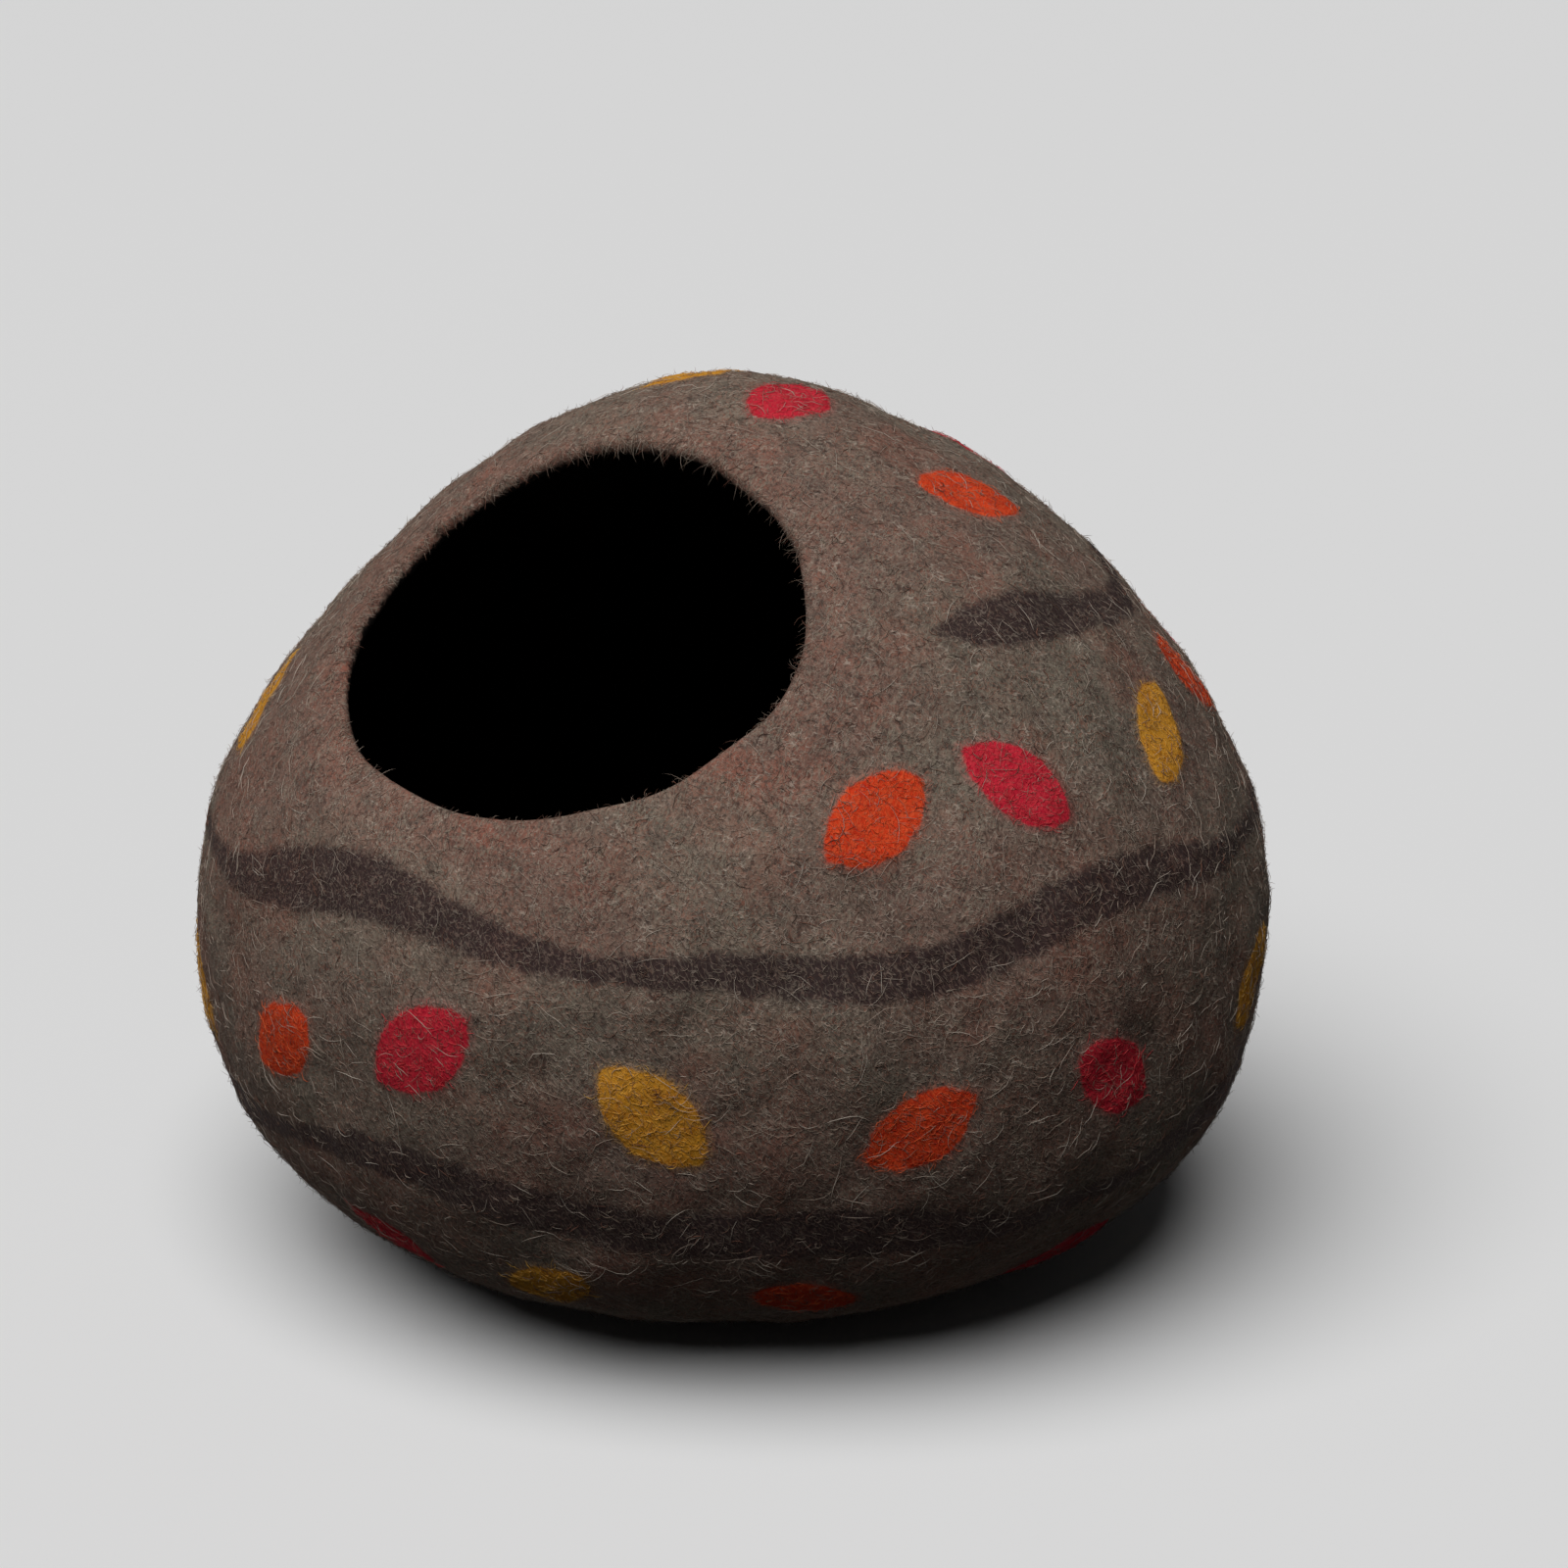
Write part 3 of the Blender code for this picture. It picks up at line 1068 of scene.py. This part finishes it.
@dataclass
class Strands:
    """Many thin fibres of one kind, joined in one mesh of tapered three-sided tubes."""

    skin: FeltSkin
    name: str
    slot: str
    count: int
    shortest: float
    longest: float
    radius: float
    lift: float
    curl: float
    tones: tuple[float, float]
    seed: int
    lay: Lay = Lay.FLAT
    dyes: tuple[Dye, ...] = ()
    rings: int = 4

    def roots(self, draw: np.random.Generator) -> Array:
        """Directions of the fibres' roots, spread evenly over the wall.

        Args:
            draw: the source of random numbers.

        Returns:
            A unit vector for each fibre.
        """
        form = self.skin.form
        kept: list[Array] = []
        found = 0
        while found < self.count:
            ways = normalised(draw.normal(size=(4 * self.count, 3)))
            even = self.skin.even_points(ways)
            slant = np.abs((self.skin.normals(ways) * ways).sum(axis=-1))
            spread = ((even - form.centre) ** 2).sum(axis=-1) / np.maximum(slant, 0.3) / 0.075
            clear = (form.beyond_lip(ways) > 0.03) & (even[:, 2] > 0.004)
            chosen = ways[clear & (draw.uniform(size=len(ways)) < spread)]
            if self.dyes:
                gaps = self.skin.motif.distances(self.skin.even_points(chosen))
                chosen = chosen[np.minimum.reduce([gaps[dye] for dye in self.dyes]) < 0.0008]
            kept.append(chosen)
            found += len(chosen)
        return np.concatenate(kept)[: self.count]

    def wall_paths(self, draw: np.random.Generator) -> tuple[Array, Array]:
        """Paths that curl over the wall, lying on it or standing off at one end.

        Args:
            draw: the source of random numbers.

        Returns:
            The points along each path, and the wall's normal at its root.
        """
        form = self.skin.form
        roots = self.roots(draw)
        up = self.skin.normals(roots)
        start = self.skin.even_points(roots)
        aside = normalised(np.cross(up, normalised(draw.normal(size=up.shape))))
        ahead = np.cross(up, aside)
        steps = self.rings + 1
        length = draw.uniform(self.shortest, self.longest, self.count)
        bend = draw.normal(0.0, self.curl, self.count)
        heading = np.zeros(self.count)
        along, across = np.zeros(self.count), np.zeros(self.count)
        flat = [np.stack([along, across], -1)]
        for _ in range(steps):
            heading = heading + bend / steps + draw.normal(0.0, 0.28 * self.curl / steps**0.5, self.count)
            along = along + np.cos(heading) * length / steps
            across = across + np.sin(heading) * length / steps
            flat.append(np.stack([along, across], -1))
        plan = np.stack(flat, axis=1)
        places = start[:, None] + plan[..., :1] * aside[:, None] + plan[..., 1:] * ahead[:, None]
        paths = self.skin.points(normalised(places - form.centre))
        share = np.linspace(0.0, 1.0, steps + 1)
        if self.lay is Lay.STANDING:
            rise = share**1.4
        else:
            rise = np.sin(math.pi * share) * np.abs(np.sin(share * 7.0 + 1.0))
        lift = self.lift * draw.uniform(0.25, 1.0, self.count)
        paths = paths + up[:, None] * (lift[:, None] * rise + 0.4 * self.radius)[..., None]
        paths[..., 2] = np.maximum(paths[..., 2], self.radius)
        return paths, up

    def lip_paths(self, draw: np.random.Generator) -> tuple[Array, Array]:
        """Paths that leave the lip's edge and curl into the mouth.

        Args:
            draw: the source of random numbers.

        Returns:
            The points along each path, and the lip's normal at its root.
        """
        form = self.skin.form
        turns = draw.uniform(0.0, FULL_TURN, self.count)
        edge = form.lip_angle(turns) + draw.uniform(0.012, 0.045, self.count)
        roots = form.directions(turns, edge)
        start = self.skin.points(roots)
        up = self.skin.normals(roots)
        inner = form.directions(turns, edge - 0.05)
        mouthward = inner - roots
        mouthward = normalised(mouthward - (mouthward * up).sum(-1, keepdims=True) * up)
        sideways = np.cross(up, mouthward)
        top = 0.5 + 0.5 * np.sin(turns)
        length = draw.uniform(self.shortest, self.longest, self.count) * (0.45 + 0.75 * top)
        slant = draw.normal(0.0, 0.75, self.count)
        bend = draw.normal(0.0, self.curl, self.count)
        steps = self.rings + 1
        dip = draw.uniform(0.0, 1.4, self.count)
        place = start + up * 0.0001
        paths = [place]
        for step in range(steps):
            heading = slant + bend * (step + 1) / steps
            sink = (dip * (step + 0.5) / steps)[:, None]
            way = np.cos(heading)[:, None] * mouthward + np.sin(heading)[:, None] * sideways
            way = normalised(way * np.cos(sink) - up * np.sin(sink))
            place = place + way * (length / steps)[:, None]
            paths.append(place)
        return np.stack(paths, axis=1), up

    def tubes(self, paths: Array, up: Array, draw: np.random.Generator) -> tuple[Array, Array, Array]:
        """Wraps each path in a thin tube with pointed ends.

        Args:
            paths: points along each fibre.
            up: the wall's normal at each root.
            draw: the source of random numbers.

        Returns:
            The points, the triangles and the map's place of each face corner.
        """
        count, stations = paths.shape[:2]
        middle = paths[:, 1:-1]
        forward = normalised(paths[:, 2:] - paths[:, :-2])
        side = normalised(np.cross(forward, up[:, None]) + 1e-6)
        top = np.cross(side, forward)
        taper = np.sin(np.linspace(0.22, 0.78, self.rings) * math.pi)
        thick = self.radius * draw.uniform(0.65, 1.2, count)
        size = thick[:, None] * taper
        corners = []
        for corner in range(3):
            turn = math.pi / 2 + corner * FULL_TURN / 3
            corners.append(middle + size[..., None] * (math.cos(turn) * side + math.sin(turn) * top))
        body = np.stack(corners, axis=2).reshape(count, -1, 3)
        points = np.concatenate([body, paths[:, :1], paths[:, -1:]], axis=1)
        pattern, places = self.pattern()
        each = points.shape[1]
        triangles = (np.arange(count)[:, None, None] * each + pattern[None]).reshape(-1, 3)
        across = math.ceil(math.sqrt(count))
        cell = np.stack([np.arange(count) % across, np.arange(count) // across], -1)
        spots = (cell[:, None, None] + 0.06 + 0.88 * places[None]) / across
        return points.reshape(-1, 3), triangles, spots.reshape(-1, 3, 2)

    def pattern(self) -> tuple[Array, Array]:
        """One tube's triangles and the places of their corners in its own cell of the map."""
        triangles: list[list[int]] = []
        places: list[list[tuple[float, float]]] = []
        first_tip, last_tip = 3 * self.rings, 3 * self.rings + 1
        last = self.rings + 1
        for side in range(3):
            other = (side + 1) % 3
            low, high = side / 3, (side + 1) / 3
            triangles.append([first_tip, side, other])
            places.append([(0.0, (low + high) / 2), (1 / last, low), (1 / last, high)])
            for ring in range(self.rings - 1):
                near, far = 3 * ring, 3 * ring + 3
                left, right = (ring + 1) / last, (ring + 2) / last
                triangles.append([near + side, far + side, far + other])
                places.append([(left, low), (right, low), (right, high)])
                triangles.append([near + side, far + other, near + other])
                places.append([(left, low), (right, high), (left, high)])
            end = 3 * (self.rings - 1)
            triangles.append([last_tip, end + other, end + side])
            places.append([(1.0, (low + high) / 2), (self.rings / last, high), (self.rings / last, low)])
        return np.array(triangles), np.array(places)

    def tone_of(self, paths: Array, draw: np.random.Generator) -> Array:
        """Each fibre's tone: drawn at random, or that of the dye that it grows from."""
        if not self.dyes:
            return draw.uniform(*self.tones, self.count)
        gaps = self.skin.motif.distances(paths[:, 0])
        nearest = np.argmin(np.stack([gaps[dye] for dye in self.dyes]), axis=0)
        return nearest / max(len(self.dyes) - 1, 1)

    def build(self, material: bpy.types.Material) -> bpy.types.Object:
        """Makes the fibres and dresses them.

        Args:
            material: the fibres' finish, which reads their tone.

        Returns:
            The fibres' object.
        """
        draw = np.random.default_rng(self.seed)
        paths, up = self.lip_paths(draw) if self.lay is Lay.LIP else self.wall_paths(draw)
        points, triangles, places = self.tubes(paths, up, draw)
        mesh = mesh_from(self.name, points, triangles, places)
        tones = self.tone_of(paths, draw)
        add_field(mesh, "tone", np.repeat(tones, len(points) // self.count))
        return place_piece(self.name, mesh, material)


@dataclass
class LooseWool:
    """All the fibres that stand proud of the felt, kind by kind."""

    skin: FeltSkin
    pieces: list[bpy.types.Object] = field(default_factory=list)

    def kinds(self) -> list[Strands]:
        """The kinds of loose undyed fibre, from long pale hairs to short dark fuzz."""
        loose = "loose_fibres"
        return [
            Strands(
                self.skin,
                "kemp_hairs",
                loose,
                count=3400,
                shortest=0.009,
                longest=0.021,
                radius=0.00011,
                lift=0.0016,
                curl=1.3,
                tones=(0.78, 1.0),
                seed=101,
            ),
            Strands(
                self.skin,
                "tan_curls",
                loose,
                count=7400,
                shortest=0.004,
                longest=0.009,
                radius=0.00012,
                lift=0.0009,
                curl=2.6,
                tones=(0.55, 0.9),
                seed=102,
            ),
            Strands(
                self.skin,
                "brown_curls",
                loose,
                count=7400,
                shortest=0.004,
                longest=0.010,
                radius=0.00013,
                lift=0.0009,
                curl=2.6,
                tones=(0.1, 0.6),
                seed=103,
            ),
            Strands(
                self.skin,
                "short_fuzz",
                loose,
                count=6200,
                shortest=0.002,
                longest=0.0055,
                radius=0.00010,
                lift=0.0030,
                curl=1.6,
                tones=(0.2, 0.95),
                seed=104,
                lay=Lay.STANDING,
            ),
            Strands(
                self.skin,
                "lip_fuzz",
                loose,
                count=2600,
                shortest=0.004,
                longest=0.013,
                radius=0.00011,
                lift=0.0,
                curl=2.2,
                tones=(0.15, 0.9),
                seed=105,
                lay=Lay.LIP,
            ),
        ]

    def build(self) -> list[bpy.types.Object]:
        """Makes every kind of loose fibre.

        Returns:
            The fibres' objects.
        """
        undyed = LooseWoolFinish().build()
        for kind in self.kinds():
            self.pieces.append(kind.build(undyed))
        dyed = Strands(
            self.skin,
            "dyed_fuzz",
            "dyed_wool",
            count=4200,
            shortest=0.003,
            longest=0.008,
            radius=0.00012,
            lift=0.0009,
            curl=2.0,
            tones=(0.0, 1.0),
            seed=106,
            lay=Lay.FLAT,
            dyes=(Dye.CRIMSON, Dye.ORANGE, Dye.MUSTARD),
        )
        self.pieces.append(dyed.build(DyedFuzzFinish().build()))
        return self.pieces


# ---------------------------------------------------------------- stage


@dataclass
class Stage:
    """The pale floor, the soft lights and the camera."""

    aim: tuple[float, float, float] = (0.0, 0.0, 0.17)
    azimuth: float = math.radians(31.0)
    elevation: float = math.radians(18.0)
    distance: float = 1.55
    lens: float = 82.35
    aim_right: float = 0.0207
    aim_up: float = 0.0290
    floor_radius: float = 14.0
    floor_colour: Colour = (0.90, 0.90, 0.90)
    horizon: tuple[float, float] = (-0.10, 0.25)
    light_below: float = 0.05
    light_above: float = 0.42

    def add_floor(self) -> bpy.types.Object:
        """A wide plain floor, which is no part of the cave."""
        bpy.ops.mesh.primitive_circle_add(vertices=96, radius=self.floor_radius, fill_type="NGON")
        floor = bpy.context.object
        floor.name = "floor"
        bench = Bench("pale_floor")
        bench.shader.inputs["Base Color"].default_value = (*self.floor_colour, 1.0)
        bench.shader.inputs["Roughness"].default_value = 0.9
        bench.shader.inputs["Specular IOR Level"].default_value = 0.1
        floor.data.materials.append(bench.material)
        floor.location.z = -0.0004
        floor.visible_diffuse = False
        return floor

    def add_light(self, name: str, azimuth: float, elevation: float, spread: float, strength: float) -> None:
        """Adds a broad soft light that falls evenly on the cave and the floor.

        Args:
            name: the light's name.
            azimuth: its angle from +X in degrees.
            elevation: its angle above the floor in degrees.
            spread: how wide it looks from the cave, in degrees.
            strength: how much light falls on a square metre that faces it, in watts.
        """
        lamp = bpy.data.lights.new(name, "SUN")
        lamp.angle = math.radians(spread)
        lamp.energy = strength
        holder = bpy.data.objects.new(name, lamp)
        bpy.context.scene.collection.objects.link(holder)
        way = Vector(unit_directions(np.array(azimuth), np.array(elevation)))
        holder.location = Vector(self.aim) + way
        holder.rotation_euler = (-way).to_track_quat("-Z", "Y").to_euler()

    def add_world(self) -> None:
        """Fills the room with an even light from above and little from below."""
        world = bpy.data.worlds.new("studio")
        world.use_nodes = True
        tree = world.node_tree
        way = tree.nodes.new("ShaderNodeTexCoord").outputs["Generated"]
        split = tree.nodes.new("ShaderNodeSeparateXYZ")
        tree.links.new(way, split.inputs[0])
        rise = tree.nodes.new("ShaderNodeMapRange")
        rise.interpolation_type = "SMOOTHSTEP"
        rise.inputs[1].default_value = self.horizon[0]
        rise.inputs[2].default_value = self.horizon[1]
        rise.inputs[3].default_value = self.light_below
        rise.inputs[4].default_value = self.light_above
        tree.links.new(split.outputs["Z"], rise.inputs[0])
        tree.links.new(rise.outputs[0], tree.nodes["Background"].inputs["Strength"])
        bpy.context.scene.world = world

    def add_camera(self) -> bpy.types.Object:
        """The camera, a long lens a little above the mouth and to its right."""
        back = Vector(
            (
                math.sin(self.azimuth) * math.cos(self.elevation),
                -math.cos(self.azimuth) * math.cos(self.elevation),
                math.sin(self.elevation),
            )
        )
        right = Vector((math.cos(self.azimuth), math.sin(self.azimuth), 0.0))
        middle = Vector(self.aim)
        lens = bpy.data.cameras.new("camera")
        lens.lens = self.lens
        lens.sensor_width = 36.0
        lens.clip_start = 0.05
        camera = bpy.data.objects.new("camera", lens)
        bpy.context.scene.collection.objects.link(camera)
        camera.location = middle + back * self.distance
        target = middle + right * self.aim_right + Vector((0.0, 0.0, self.aim_up))
        camera.rotation_euler = (target - camera.location).to_track_quat("-Z", "Y").to_euler()
        bpy.context.scene.camera = camera
        return camera

    def build(self) -> None:
        """Sets the stage."""
        self.add_floor()
        self.add_light("key", azimuth=-88, elevation=63, spread=55, strength=2.6)
        self.add_world()
        self.add_camera()
        bpy.context.scene.view_settings.view_transform = "Standard"


def report(piece: bpy.types.Object) -> None:
    """Logs a piece's name and size."""
    log.info("%s: %d triangles", piece.name, len(piece.data.polygons))


def main() -> None:
    logging.basicConfig(level=logging.INFO, format="%(name)s: %(message)s")
    form = CaveForm()
    skin = FeltSkin(form, MotifLayout(form))
    Stage().build()
    report(FeltShell(skin).build())
    for piece in LooseWool(skin).build():
        report(piece)


if __name__ == "__main__":
    main()
